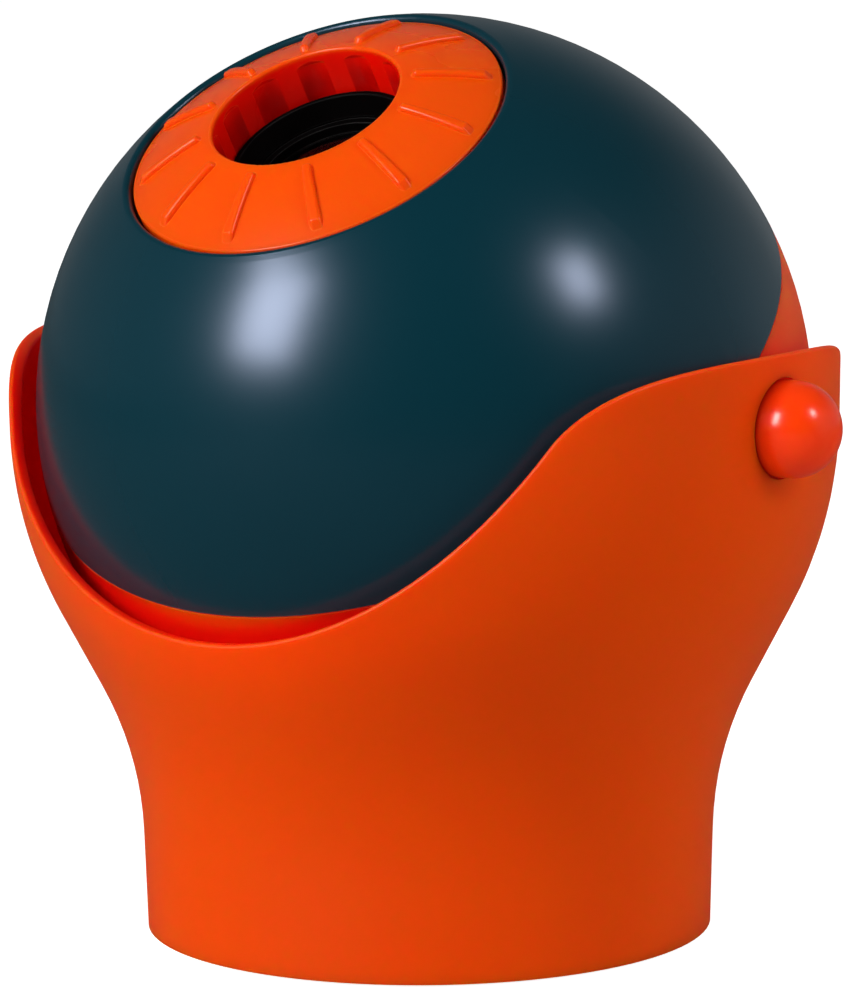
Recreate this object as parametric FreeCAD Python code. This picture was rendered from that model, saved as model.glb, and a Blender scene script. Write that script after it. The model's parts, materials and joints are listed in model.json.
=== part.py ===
"""Planetarium projector: a ball with a slide projector and a star projector, in a cup stand.

Millimetres. +Z is up, the origin is on the floor under the centre of the ball, X is the axis of the two
pivots, and the lens looks towards -Y and up. Pieces of the ball are drawn in the lens frame: its origin is
the ball's centre, +Z runs out along the lens axis, +X is the pivot axis. tip() then puts them in place.
"""
import FreeCAD, Part
import math
import os

V = FreeCAD.Vector
os.makedirs("parts", exist_ok=True)

# ---- driving dimensions -------------------------------------------------------------------------------
# ball
ball_r = 75.0                 # outside radius of the ball
ball_wall = 2.5
ball_lift = 27.5              # from the floor to the ball's lowest point
lens_elevation = 57.4         # the lens axis over the horizon, in degrees
seam_z = 9.35                 # where the two shells meet, along the lens axis
seam_gap = 0.25
lip_height = 2.0              # lip of the rear shell inside the front one
lip_wall = 1.4
fit_gap = 0.15                # clearance between parts that are pushed together
run_gap = 0.3                 # clearance between faces that pass each other
push_gap = 0.05               # clearance round a piece that is pressed home

# stand
stand_wall = 2.5
foot_proud = 0.5              # how far the feet lift the shell's edge off the floor
ball_room = 2.7               # between the ball and the arms
stand_lean = 0.8              # how far the arms lean outwards, in degrees
base_in = 19.8                # how much smaller than the ball the stand's foot is, and its waist
waist_in = 18.8
waist_drop = 67.4             # from the ball's centre down to the waist
shoulder_drop = 22.1
rim_drop = 36.8               # and down to the rim's lowest point
waist_fillet = 68.6
shoulder_fillet = 80.0
rim_dish_in = 6.0             # how much smaller than the ball the rim's dish is
rim_ear_r = 25.7              # rounding over each arm
rim_ear_out = 3.8             # its centre, outside the arm
rim_edge_r = 0.6
base_plate_t = 2.5
base_plate_recess = 1.0
foot_r = 5.0
foot_bevel = 0.3
foot_in = 13.2                # from the stand's foot in to the feet's centres
foot_count = 4
base_screw_in = 5.9           # from the stand's foot in to the screws
base_boss_r = 3.6
base_boss_h = 12.0
base_screw_count = 3

# pivots
shaft_r = 4.0
shaft_run_gap = 0.08          # radial clearance in the arms
shaft_seat_gap = 0.03         # radial clearance in the ball
knob_r = 9.08
knob_skirt = 3.0
knob_seat_in = 1.0            # the knob sits in a flat, round seat in the arm
knob_seat_gap = 0.45
knob_gap = 0.1                # between the knob and its seat
arm_pad_r = 8.4
arm_pad_in = 0.9              # how far the pad stands in from the arm's wall
ball_flat_r = 9.3
ball_flat_in = 0.7            # how deep the flat for the washer is cut
pivot_boss_r = 8.5
pivot_boss_len = 8.3
washer_r = 7.8
washer_gap = 0.05             # on each face
pivot_head_r = 5.6

# focus ring
ring_r = 36.3
ring_sink = 1.35              # from the front shell's edge down to the crown's edge
ring_crown_more = 3.0         # how much larger than the ball's radius the crown's is
ring_edge_round = 0.4
ring_gap = 0.6                # between the ring and the front shell
shell_lip_r = 1.0             # rounding of the front shell's edge round the ring
ring_plate_t = 2.6
ring_skirt_t = 2.7
window_r = 18.4               # the round opening
window_round = 0.5
flute_count = 12
flute_half = 8.8              # half of a flute's width, in degrees round the window
flute_deep = 0.55
flute_top_drop = 1.3          # from the crown down to a flute's end
flute_end = 1.4               # length over which a flute runs out
flute_phase = -1.2            # degrees after a rib
rib_count = 12
rib_in_r = 20.5
rib_out_r = 34.7
rib_in_w = 1.7
rib_out_w = 2.5
rib_h = 1.15
rib_slope = 1.0
rib_root = 1.0                # how far a rib starts under the crown
rib_round = 0.7
rib_phase = 1.6               # degrees from the pivot axis
sleeve_t = 2.0
sleeve_len = 15.0             # from the front shell's seat down to the sleeve's end
collar_r = 23.6
seat_drop = 6.34              # from the crown's edge down to the underside of the front shell's seat
seat_t = 2.4
retainer_r = 28.0
retainer_t = 1.9
retainer_screw_count = 3
retainer_screw_in = 4.0
retainer_screw_turn = 60.0    # degrees after a rib

# lens barrel
barrel_gap = 0.3
barrel_front_up = 3.4         # over the underside of the seat
barrel_len = 15.0
barrel_mouth_r = 17.0
barrel_mouth_deep = 4.0
barrel_edge_r = 0.25
lens_r = 15.5
lens_edge_t = 3.6
lens_bulge = 3.0
lens_bore_r = 13.5
front_lens_in = 10.0          # behind the barrel's front
rear_lens_t = 1.7
lens_retainer_w = 1.6
lens_retainer_t = 2.0
rear_lens_bulge = 1.2
lug_r = 1.2
lug_gap = 0.25
lug_reach = 22.0
lug_count = 3
lug_in = 12.5                 # behind the barrel's front
focus_pitch = 32.0            # barrel travel for a full turn
focus_back = 30.0             # degrees of ring travel each way
focus_out = 60.0
lug_start = 60.0              # direction of the first lug, in degrees from the pivot axis
cam_steps = 10                # straight pieces in each curved slot
guide_wall = 2.0
guide_gap = 0.4
guide_drop = 3.6              # from the underside of the seat to the guide's end

# picture disc and its gate
disc_drop = 5.4               # from the sleeve's end down to the disc
disc_t = 1.6
disc_sink = 0.8               # how far the disc's edge stays inside the ball
disc_turn = 132.0             # direction of the disc's centre, in degrees from the pivot axis
disc_rim = 2.9                # round the pictures
picture_count = 8
picture_r = 6.5
picture_t = 0.3
picture_lip = 0.5
detent_r = 1.1
detent_len = 17.0
detent_leaf_t = 0.3
detent_side = 75.0            # degrees round the disc from its outermost point
gate_wall = 1.8
gate_gap = 0.5                # over and under the disc
gate_edge_gap = 0.7
gate_more = 2.6               # how much larger than the disc the gate is
gate_window_r = 7.0
spindle_r = 3.0
spindle_gap = 0.06
thumb_r = 15.0
thumb_depth = 5.2

# lamp and chassis
plate_z = 4.5
plate_t = 2.5
plate_room = 3.5              # between the plate and the ball's inside
lamp_tube_r = 13.6
lamp_tube_wall = 1.6
lead_hole_r = 4.0
tray_room = 4.7               # the plate is cut away for the battery tray, with this much room
lamp_flange_r = 18.0
lamp_flange_t = 2.0
condenser_drop = 13.9         # under the gate
condenser_edge_t = 4.0
condenser_bulge = 4.0
condenser_rim = 0.5
condenser_shelf = 1.2
led_board_r = 10.0
led_board_t = 1.6
led_r = 3.2
led_h = 2.4
led_base_t = 0.8
led_notch_r = 1.6
led_notch_count = 6
led_notch_turn = 30.0

# shell screws
well_in = 5.0                 # from the plate's edge to the screws
well_turns = (30.0, 150.0, 210.0, 330.0)
well_r = 3.1
well_wall = 1.2
well_web = 3.0
front_boss_r = 3.6
screw_r = 1.45
screw_hole_gap = 0.05
screw_head_r = 2.8
screw_head_t = 2.2
shell_screw_len = 16.0
screw_slot_w = 1.0            # a straight slot in a screw's head

# star projector
dome_r = 24.0
dome_wall = 1.6
dome_sink = 0.7               # how far the dome's top stays inside the ball
dome_gap = 0.6
funnel_floor_drop = 0.2       # from the dome's centre to the recess's floor
funnel_floor_r = 30.5
funnel_mouth_r = 34.0
funnel_wall = 2.0
funnel_flange_r = 36.4
gear_module = 0.75
gear_teeth = 80
pinion_teeth = 20
gear_t = 3.0
gear_low_gap = 0.3
mesh_slack = 0.12             # added to the centre distance
carrier_t = 2.0
carrier_r = 35.8
pilot_wall = 2.4
pilot_gap = 0.06
standoff_circle_r = 33.6
standoff_r = 2.2
standoff_turns = (90.0, 210.0, 330.0)
small_screw_r = 1.0
small_head_r = 1.9
small_head_t = 1.3
post_r = 4.0
star_led_r = 1.5
motor_w = 12.0
motor_d = 10.0
motor_len = 24.0
motor_shaft_r = 1.5
motor_shaft_in = 5.0
motor_boss_r = 2.0
motor_boss_h = 1.2

# batteries
cell_r = 7.25
cell_len = 50.5
cell_tip_r = 2.7
cell_tip_h = 1.2
cell_pitch = 15.2
cell_count = 3
cell_room = 21.4              # from the ball's skin to the cells' centres
tray_drop = 22.0              # degrees from the back of the ball's crosswise axis down towards the dome
tray_wall = 1.5
tray_end_room = 2.4           # for the contacts, at each end
contact_t = 0.4
contact_w = 9.4
coil_tip_r = 3.2
coil_root_r = 4.6
door_half_w = 30.0
door_half_h = 25.5
door_gap = 0.3
door_ledge = 1.6
door_screw_r = 1.5
door_screw_head_r = 2.9
door_screw_head_t = 1.2
door_screw_len = 4.0
door_screw_sink = 1.5         # how far the head's seat lies under the skin
door_screw_in = 4.5           # from the opening's edge to the screw

# switch and circuit board
switch_turn = 134.0           # direction of the switch round the lens axis, in degrees from the pivot axis
switch_drop = 12.0            # degrees behind the ball's equator
switch_travel = 3.0           # each way
switch_slot_w = 4.4
switch_knob_w = 3.8
switch_knob_len = 5.0
switch_knob_proud = 1.0
switch_foot_t = 0.8
switch_groove_w = 0.6
switch_groove_pitch = 1.4
switch_pin_len = 3.0
switch_pin_pitch = 3.0
switch_pin_w = 1.6
switch_end_t = 2.4
switch_body_len = 19.0
switch_body_w = 8.0
switch_body_t = 6.0
board_w = 34.0
board_d = 22.0
board_t = 1.6
board_y = -22.0
board_standoff = 4.0
chip_w = 8.0
chip_t = 1.8
board_post_r = 1.8
board_post_in = 2.5           # from the board's edges to a post's centre
capacitor_r = 2.5
capacitor_h = 7.0
capacitor_x = 12.0

# ---- helpers ------------------------------------------------------------------------------------------
X, Y, Z = V(1, 0, 0), V(0, 1, 0), V(0, 0, 1)
O = V(0, 0, 0)
far = 3 * ball_r              # longer than anything that is cut
touch = 0.01                  # how close counts as on a plane


def tip(shape):
    """From the lens frame to the row's frame."""
    placed = shape.copy()
    placed.rotate(O, X, 90 - lens_elevation)
    placed.translate(V(0, 0, ball_height))
    return placed


def turned(shape, degrees, axis=Z, centre=O):
    copy = shape.copy()
    copy.rotate(centre, axis, degrees)
    return copy


def moved(shape, x=0.0, y=0.0, z=0.0):
    copy = shape.copy()
    copy.translate(V(x, y, z))
    return copy


def around(shape, count, start=0.0):
    return [turned(shape, start + 360.0 * k / count) for k in range(count)]


def rod(r, z0, z1, x=0.0, y=0.0):
    return Part.makeCylinder(r, z1 - z0, V(x, y, z0))


def tube(r_out, r_in, z0, z1, x=0.0, y=0.0):
    return rod(r_out, z0, z1, x, y).cut(rod(r_in, z0 - 1, z1 + 1, x, y))


def cross_rod(r, x0, x1):
    """A round bar along the pivot axis."""
    return Part.makeCylinder(r, abs(x1 - x0), V(min(x0, x1), 0, 0), X)


def block(x0, x1, y0, y1, z0, z1):
    return Part.makeBox(x1 - x0, y1 - y0, z1 - z0, V(x0, y0, z0))


def ball(r):
    return Part.makeSphere(r)


def prism(points, direction):
    """A closed outline of points, pushed along a vector."""
    return Part.Face(Part.makePolygon(points + points[:1])).extrude(direction)


def spun(edges):
    """A closed outline in the XZ plane, turned a full turn about Z."""
    return Part.Face(Part.Wire(edges)).revolve(O, Z, 360)


def line(a, b):
    return Part.LineSegment(V(a[0], 0, a[1]), V(b[0], 0, b[1])).toShape()


def arc(a, middle, b):
    return Part.Arc(V(a[0], 0, a[1]), V(middle[0], 0, middle[1]), V(b[0], 0, b[1])).toShape()


def chain(points):
    return [line(a, b) for a, b in zip(points, points[1:])]


def rounded_path(points, radii):
    """Edges through (r, z) points, with an arc of the given radius at each inner point."""
    edges, start = [], points[0]
    for before, corner, after, radius in zip(points, points[1:], points[2:], radii):
        a = V(before[0] - corner[0], 0, before[1] - corner[1]).normalize()
        b = V(after[0] - corner[0], 0, after[1] - corner[1]).normalize()
        half = a.getAngle(b) / 2
        reach = radius / math.tan(half)
        inward = (a + b).normalize()
        centre = V(corner[0], 0, corner[1]) + inward * (radius / math.sin(half))
        p, q = V(corner[0], 0, corner[1]) + a * reach, V(corner[0], 0, corner[1]) + b * reach
        middle = centre - inward * radius
        edges += [line(start, (p.x, p.z)), arc((p.x, p.z), (middle.x, middle.z), (q.x, q.z))]
        start = (q.x, q.z)
    return edges + [line(start, points[-1])]


def ball_depth(r_ball, r):
    """Height over the centre of a ball's surface at a radius."""
    return math.sqrt(r_ball ** 2 - r ** 2)


def cap(r, bulge, z, up=1):
    """A lens face: the part of a ball that stands over a disc of radius r by bulge."""
    r_ball = (r ** 2 + bulge ** 2) / (2 * bulge)
    whole = moved(ball(r_ball), z=z + up * (bulge - r_ball))
    half = rod(2 * r_ball, z, z + 2 * r_ball) if up > 0 else rod(2 * r_ball, z - 2 * r_ball, z)
    return whole.common(half)


def lens(r, z, edge_t, bulge, rim):
    """A lens that is flat behind and bulges in front, inside a flat rim."""
    return rod(r, z, z + edge_t).fuse(cap(r - rim, bulge, z + edge_t)).removeSplitter()


def screw(r, length, head_r, head_t, z=0.0, x=0.0, y=0.0):
    """A pan head under z, its shank going up from z; the head has a cross recess."""
    head = rod(head_r, z - head_t, z, x, y)
    recess_w, recess_deep = 0.28 * head_r, 0.45 * head_t
    reach = 0.62 * head_r
    for w, d in ((reach, recess_w), (recess_w, reach)):
        head = head.cut(block(x - w, x + w, y - d, y + d, z - head_t - 1, z - head_t + recess_deep))
    return head.fuse(rod(r, z, z + length, x, y)).removeSplitter()


def gear(teeth, module, thickness, z):
    """A spur gear with straight-sided teeth; a tooth points along +X."""
    pitch_r = module * teeth / 2
    tip_r, root_r = pitch_r + 0.85 * module, pitch_r - 1.2 * module
    step = 2 * math.pi / teeth
    points = []
    for k in range(teeth):
        for r, share in ((root_r, -0.33), (tip_r, -0.12), (tip_r, 0.12), (root_r, 0.33)):
            a = step * (k + share)
            points.append(V(r * math.cos(a), r * math.sin(a), z))
    return prism(points, V(0, 0, thickness))


def largest(shape):
    """The biggest solid, without the crumbs that a cut leaves at the ball's wall."""
    return max(shape.Solids, key=lambda solid: solid.Volume).removeSplitter()


def write(name, shape):
    solids = shape.Solids
    shape = solids[0] if len(solids) == 1 else Part.makeCompound(solids)
    if not shape.isValid():
        print("not valid:", name)
    shape.exportStep("parts/%s.step" % name)
    print("%-18s %2d solids %9.1f mm3" % (name, len(solids), shape.Volume))
    return shape


# ---- sizes that follow from those above ---------------------------------------------------------------
ball_height = ball_r + ball_lift
ball_in_r = ball_r - ball_wall
ball_mid_r = ball_r - ball_wall / 2
ball_flat_x = ball_r - ball_flat_in
stand_top_r = ball_r + ball_room + stand_wall
stand_base_r = ball_r - base_in
foot_circle_r = stand_base_r - foot_in
base_screw_circle_r = stand_base_r - base_screw_in
rim_dish_r = ball_r - rim_dish_in
rim_ear_x = stand_top_r + rim_ear_out
ring_edge_z = ball_depth(ball_r, ring_r + ring_gap) - ring_sink
ring_crown_r = ball_r + ring_crown_more
seat_z = ring_edge_z - seat_drop
sleeve_low_z = seat_z - sleeve_len
barrel_front_z = seat_z + barrel_front_up
front_lens_z = barrel_front_z - front_lens_in
lug_z = barrel_front_z - lug_in
guide_top_z = seat_z - guide_drop
disc_z = sleeve_low_z - disc_drop
# the disc just fits inside the ball, and its pictures pass the lens axis
disc_offset = (ball_depth(ball_r, disc_z + disc_t) - disc_sink - disc_rim - picture_r) / 2
disc_r = disc_offset + picture_r + disc_rim
gate_r = disc_r + gate_more
plate_r = ball_in_r - plate_room
well_circle_r = plate_r - well_in
cell_circle_r = ball_r - cell_room
dome_z = dome_r + dome_sink - ball_r
funnel_floor_z = dome_z - funnel_floor_drop

# ---- stand --------------------------------------------------------------------------------------------
arm_wall_x = stand_top_r - stand_wall
arm_pad_x = arm_wall_x - arm_pad_in
shaft_bore_r = shaft_r + shaft_run_gap
knob_seat_x = stand_top_r - knob_seat_in


def stand_body(offset, z_low, z_high):
    """The solid inside the stand's outer profile, drawn in by an offset."""
    upper = math.radians(stand_lean)
    base = (stand_base_r, foot_proud)
    waist = (ball_r - waist_in, ball_height - waist_drop)
    shoulder = (stand_top_r - shoulder_drop * math.tan(upper), ball_height - shoulder_drop)
    lower = math.atan2(waist[0] - base[0], waist[1] - base[1])
    middle = math.atan2(shoulder[0] - waist[0], shoulder[1] - waist[1])

    def mitre(point, a, b):
        """A corner moved in by the offset, between walls that lean a and b from upright."""
        lean = (a + b) / 2
        shift = offset / math.cos((b - a) / 2)
        return (point[0] - shift * math.cos(lean), point[1] + shift * math.sin(lean))

    low = mitre(waist, lower, middle)
    high = mitre(shoulder, middle, upper)
    foot = (low[0] - (low[1] - z_low) * math.tan(lower), z_low)
    top = (high[0] + (z_high - high[1]) * math.tan(upper), z_high)
    path = rounded_path([foot, low, high, top], [waist_fillet + offset, shoulder_fillet - offset])
    return turned(spun(path + chain([top, (0, z_high), (0, z_low), foot])), 90)


def rim_cutter(z_high):
    """All that lies above the dished rim."""
    dish_z = ball_height - rim_drop + rim_dish_r
    reach = rim_dish_r + rim_ear_r
    ear_z = dish_z - math.sqrt(reach ** 2 - rim_ear_x ** 2)
    join = rim_dish_r / reach
    join_x, join_z = rim_ear_x * join, dish_z + (ear_z - dish_z) * join
    lean = math.atan2(rim_ear_x - join_x, join_z - ear_z) / 2
    mid_x, mid_z = rim_ear_x - rim_ear_r * math.sin(lean), ear_z + rim_ear_r * math.cos(lean)
    peak = ear_z + rim_ear_r
    side = 2 * stand_top_r
    edges = [
        line((-side, peak), (-rim_ear_x, peak)),
        arc((-rim_ear_x, peak), (-mid_x, mid_z), (-join_x, join_z)),
        arc((-join_x, join_z), (0, dish_z - rim_dish_r), (join_x, join_z)),
        arc((join_x, join_z), (mid_x, mid_z), (rim_ear_x, peak)),
    ] + chain([(rim_ear_x, peak), (side, peak), (side, z_high), (-side, z_high), (-side, peak)])
    return moved(Part.Face(Part.Wire(edges)), y=-side).extrude(V(0, 2 * side, 0))


def stand_shell():
    z_high = ball_height + 2 * rim_ear_r
    plate_top = foot_proud + base_plate_recess + base_plate_t
    shell = stand_body(0, foot_proud, z_high).cut(stand_body(stand_wall, foot_proud - 1, z_high + 1))
    shell = shell.cut(rim_cutter(z_high + 2))
    rim = [e for e in shell.Edges if e.BoundBox.ZMax > ball_height - rim_drop + 1]
    shell = shell.makeFillet(rim_edge_r, rim)
    for side in (-1, 1):
        pad = cross_rod(arm_pad_r, side * arm_pad_x, side * stand_top_r)
        shell = shell.fuse(moved(pad, z=ball_height))
    for side in (-1, 1):
        bore = cross_rod(shaft_bore_r, side * (arm_pad_x - 1), side * far)
        seat = cross_rod(knob_r + knob_seat_gap, side * knob_seat_x, side * far)
        shell = shell.cut(moved(bore.fuse(seat), z=ball_height))
    hole_r = screw_r + screw_hole_gap
    boss = tube(base_boss_r, hole_r, plate_top, plate_top + base_boss_h, base_screw_circle_r)
    boss = boss.common(stand_body(stand_wall / 2, foot_proud, z_high))
    for one in around(boss, base_screw_count, 90):
        shell = shell.fuse(one)
    return shell.removeSplitter()


def base_plate():
    low = foot_proud + base_plate_recess
    plate = rod(stand_base_r, low, low + base_plate_t)
    plate = plate.common(stand_body(stand_wall + fit_gap, foot_proud, ball_height))
    hole = rod(screw_r + fit_gap, low - 1, low + base_plate_t + 1, base_screw_circle_r)
    for one in around(hole, base_screw_count, 90):
        plate = plate.cut(one)
    return plate


def base_screws():
    low = foot_proud + base_plate_recess
    length = base_plate_t + 0.7 * base_boss_h
    one = screw(screw_r, length, screw_head_r, 0.9 * base_plate_recess, low, base_screw_circle_r)
    return Part.makeCompound(around(one, base_screw_count, 90))


def rubber_feet():
    foot = rod(foot_r, 0, foot_proud + base_plate_recess, foot_circle_r)
    foot = foot.makeChamfer(foot_bevel, [e for e in foot.Edges if e.BoundBox.ZMax < touch])
    return Part.makeCompound(around(foot, foot_count, 180.0 / foot_count))


# ---- ball casing --------------------------------------------------------------------------------------
recess_r = ring_r + ring_gap
seat_top_z = seat_z + seat_t
plate_top_z = plate_z + plate_t
disc_x = disc_offset * math.cos(math.radians(disc_turn))
disc_y = disc_offset * math.sin(math.radians(disc_turn))
gate_low_z = disc_z - gate_gap - gate_wall
gate_top_z = disc_z + disc_t + gate_gap + gate_wall
condenser_z = gate_low_z - condenser_drop
detent_turn = disc_turn + detent_side
detent_back_r = disc_r + gate_edge_gap + 1.5
collar_hole_r = collar_r + run_gap + fit_gap
pivot_seat_x = ball_flat_x - pivot_boss_len
tray_half_w = cell_len / 2 + tray_end_room + tray_wall
tray_half_h = cell_pitch * cell_count / 2 + tray_wall
tray_floor = cell_circle_r - cell_r - tray_wall
door_screw_z = door_half_h - door_screw_in
door_screw_seat = math.sqrt(ball_r ** 2 - door_screw_z ** 2) - door_screw_sink
pinion_y = -(gear_module * (gear_teeth + pinion_teeth) / 2 + mesh_slack)
funnel_top_z = funnel_floor_z + funnel_wall
gear_z = funnel_top_z + gear_low_gap
carrier_z = gear_z + gear_t + gear_low_gap


def thumb_ball(extra=0.0):
    """A ball that hollows the shell at the picture disc's edge; extra is added to its radius."""
    middle_z = disc_z + disc_t / 2
    out = V(ball_depth(ball_r, middle_z), 0, middle_z).normalize()
    thumb = ball(thumb_r + extra)
    thumb.translate(out * (ball_r + thumb_r - thumb_depth))
    return turned(thumb, disc_turn)


def front_shell():
    half = rod(far, seam_z + seam_gap, far)
    slit = rod(disc_r + gate_edge_gap, disc_z - gate_gap, disc_z + disc_t + gate_gap, disc_x, disc_y)
    # the hollow for the thumb has its own wall behind it
    inner = ball(ball_in_r).cut(thumb_ball(ball_wall))
    shell = ball(ball_r).common(half).cut(inner)
    cup = tube(recess_r + ball_wall, collar_hole_r, seat_z, far).common(ball(ball_r))
    shell = shell.fuse(cup).cut(rod(recess_r, seat_top_z, far))
    shell = shell.cut(rod(collar_hole_r, seat_z - 1, far))
    lip = [e for e in shell.Edges if e.BoundBox.ZMin > ball_depth(ball_r, recess_r) - touch]
    shell = shell.makeFillet(shell_lip_r, lip).cut(thumb_ball())
    boss = rod(front_boss_r, plate_top_z, far, well_circle_r).common(ball(ball_mid_r))
    hole = rod(screw_r + screw_hole_gap, plate_top_z - 1, plate_top_z + shell_screw_len, well_circle_r)
    for turn in well_turns:
        shell = shell.fuse(turned(boss, turn))
    for turn in well_turns:
        shell = shell.cut(turned(hole, turn))
    return shell.cut(slit).removeSplitter()


def door_frame(half_w, half_h, low, high):
    """The space under the battery door: straight sides, square to the tray."""
    patch = block(-half_w, half_w, low, high, -half_h, half_h)
    return turned(patch, -tray_drop, X)


def funnel(extra, z_top):
    """A cone that opens out from the dome's floor; extra is added to its radius."""
    mouth_z = -ball_depth(ball_r, funnel_mouth_r)
    lean = (funnel_mouth_r - funnel_floor_r) / (funnel_floor_z - mouth_z)
    low_z = -ball_r - 5
    low_r = funnel_floor_r + lean * (funnel_floor_z - low_z) + extra
    top_r = funnel_floor_r - lean * (z_top - funnel_floor_z) + extra
    return Part.makeCone(low_r, top_r, z_top - low_z, V(0, 0, low_z))


def switch_place(shape):
    """From a frame that lies on the ball's skin (+X outwards, +Z along the travel) to the lens frame."""
    return turned(turned(shape, switch_drop, Y), switch_turn)


def rear_shell():
    half = rod(far, -far, seam_z)
    shell = ball(ball_r).common(half).cut(ball(ball_in_r))
    lip_top = seam_z + lip_height
    lip_r = ball_depth(ball_in_r, lip_top) - fit_gap
    lip_in_r = lip_r - lip_wall
    root_r = ball_depth(ball_in_r, seam_z) + ball_wall / 4
    root = tube(root_r, lip_in_r, seam_z - 2 * lip_height, seam_z)
    lip = root.fuse(tube(lip_r, lip_in_r, seam_z - 1, lip_top)).common(ball(ball_mid_r))
    shell = shell.fuse(lip)
    # pivots
    for side in (-1, 1):
        boss = cross_rod(pivot_boss_r, side * pivot_seat_x, side * ball_flat_x).common(ball(ball_mid_r))
        shell = shell.fuse(boss)
        shell = shell.cut(cross_rod(ball_flat_r, side * ball_flat_x, side * far))
        shell = shell.cut(cross_rod(shaft_r + shaft_seat_gap, side * (pivot_seat_x - 1), side * far))
    # recess round the star dome, with its floor and standoffs
    wall = funnel(funnel_wall, funnel_top_z)
    wall = wall.fuse(rod(funnel_flange_r, funnel_floor_z, funnel_top_z)).common(ball(ball_r))
    standoff = rod(standoff_r, funnel_top_z, carrier_z, standoff_circle_r)
    hole = rod(small_screw_r + screw_hole_gap, funnel_top_z, carrier_z + 1, standoff_circle_r)
    for turn in standoff_turns:
        wall = wall.fuse(turned(standoff, turn))
    for turn in standoff_turns:
        wall = wall.cut(turned(hole, turn))
    shell = shell.fuse(wall).cut(funnel(0, funnel_floor_z))
    shell = shell.cut(rod(dome_r + dome_gap, -far, funnel_top_z + 1))
    # screw wells
    well = rod(well_r + well_wall, -far, plate_z, well_circle_r).common(ball(ball_r))
    hole = rod(well_r, -far, plate_z - well_web, well_circle_r)
    hole = hole.fuse(rod(screw_r + fit_gap, -far, plate_z + 1, well_circle_r))
    for turn in well_turns:
        shell = shell.fuse(turned(well, turn))
    for turn in well_turns:
        shell = shell.cut(turned(hole, turn))
    # battery opening with a ledge for the door
    shell = shell.cut(door_frame(door_half_w, door_half_h, cell_circle_r, far))
    seat = ball(ball_in_r).cut(ball(ball_in_r - ball_wall))
    frame = door_frame(door_half_w + ball_wall, door_half_h + ball_wall, cell_circle_r, far).cut(
        door_frame(door_half_w - door_ledge, door_half_h - door_ledge, cell_circle_r - 1, far))
    shell = shell.fuse(seat.common(frame).common(half))
    # switch slot
    slot_half = switch_travel + switch_knob_len / 2 + run_gap
    half_w = switch_slot_w / 2
    slot = block(ball_in_r - 2 * ball_wall, far, -half_w, half_w, -slot_half, slot_half)
    return shell.cut(switch_place(slot)).removeSplitter()


def shell_screws():
    length = well_web + plate_t + 0.8 * shell_screw_len
    one = screw(screw_r, length, screw_head_r, screw_head_t, plate_z - well_web, well_circle_r)
    return Part.makeCompound([turned(one, turn) for turn in well_turns])


def knob(side):
    base = knob_seat_x + knob_gap
    centre = base + knob_skirt
    dome = moved(ball(knob_r), x=centre).common(block(centre, far, -far, far, -far, far))
    whole = dome.fuse(cross_rod(knob_r, base, centre))
    shaft_end = pivot_seat_x + run_gap
    whole = whole.fuse(cross_rod(shaft_r, shaft_end, base))
    hole = cross_rod(screw_r + screw_hole_gap, shaft_end - 1, shaft_end + 0.8 * pivot_boss_len)
    whole = whole.cut(hole).removeSplitter()
    return whole if side > 0 else turned(whole, 180)


def pivot_washers():
    inner, outer = ball_flat_x + washer_gap, arm_pad_x - washer_gap
    one = cross_rod(washer_r, inner, outer).cut(cross_rod(shaft_r + shaft_seat_gap, inner - 1, outer + 1))
    return Part.makeCompound([one, turned(one, 180)])


def pivot_screws():
    head = cross_rod(pivot_head_r, pivot_seat_x - screw_head_t, pivot_seat_x)
    slot_x = pivot_seat_x - screw_head_t / 2
    head = head.cut(block(0, slot_x, -far, far, -screw_slot_w / 2, screw_slot_w / 2))
    one = head.fuse(cross_rod(screw_r, pivot_seat_x, pivot_seat_x + 0.7 * pivot_boss_len)).removeSplitter()
    return Part.makeCompound([one, turned(one, 180)])


# ---- focus ring and lens barrel -----------------------------------------------------------------------
crown_z = ring_edge_z - ball_depth(ring_crown_r, ring_r)
sleeve_r = window_r + sleeve_t
barrel_r = window_r - barrel_gap
collar_screw_r = (sleeve_r + collar_r) / 2
retainer_top_z = seat_z - run_gap
# a flute's section is an arc over this chord of the window's circle
flute_chord = window_r * math.sin(math.radians(flute_half))
flute_sag = window_r + flute_deep - math.sqrt(window_r ** 2 - flute_chord ** 2)
flute_r = (flute_chord ** 2 + flute_sag ** 2) / (2 * flute_sag)


def crown(r):
    """Height of the ring's crown at a radius."""
    return crown_z + ball_depth(ring_crown_r, r)


def ring_body():
    skirt_z = seat_top_z + run_gap
    skirt_r = ring_r - ring_skirt_t
    shoulder_r = window_r + window_round
    shoulder_z = crown(shoulder_r)
    low = shoulder_z - window_round
    round_mid = (shoulder_r - window_round * math.sqrt(0.5), low + window_round * math.sqrt(0.5))
    middle_r = (ring_r + shoulder_r) / 2
    edge_z = crown(ring_r - ring_edge_round)
    bend = ring_edge_round * (1 - math.sqrt(0.5))
    side_top, crown_end = (ring_r, edge_z - ring_edge_round), (ring_r - ring_edge_round, edge_z)
    edges = [
        line((ring_r, skirt_z), side_top),
        arc(side_top, (ring_r - bend, edge_z - bend), crown_end),
        arc(crown_end, (middle_r, crown(middle_r)), (shoulder_r, shoulder_z)),
        arc((shoulder_r, shoulder_z), round_mid, (window_r, low)),
    ]
    edges += chain([
        (window_r, low), (window_r, sleeve_low_z), (sleeve_r, sleeve_low_z), (sleeve_r, retainer_top_z),
        (collar_r, retainer_top_z), (collar_r, crown(collar_r) - ring_plate_t),
        (skirt_r, crown(skirt_r) - ring_plate_t), (skirt_r, skirt_z), (ring_r, skirt_z),
    ])
    return spun(edges)


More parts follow.
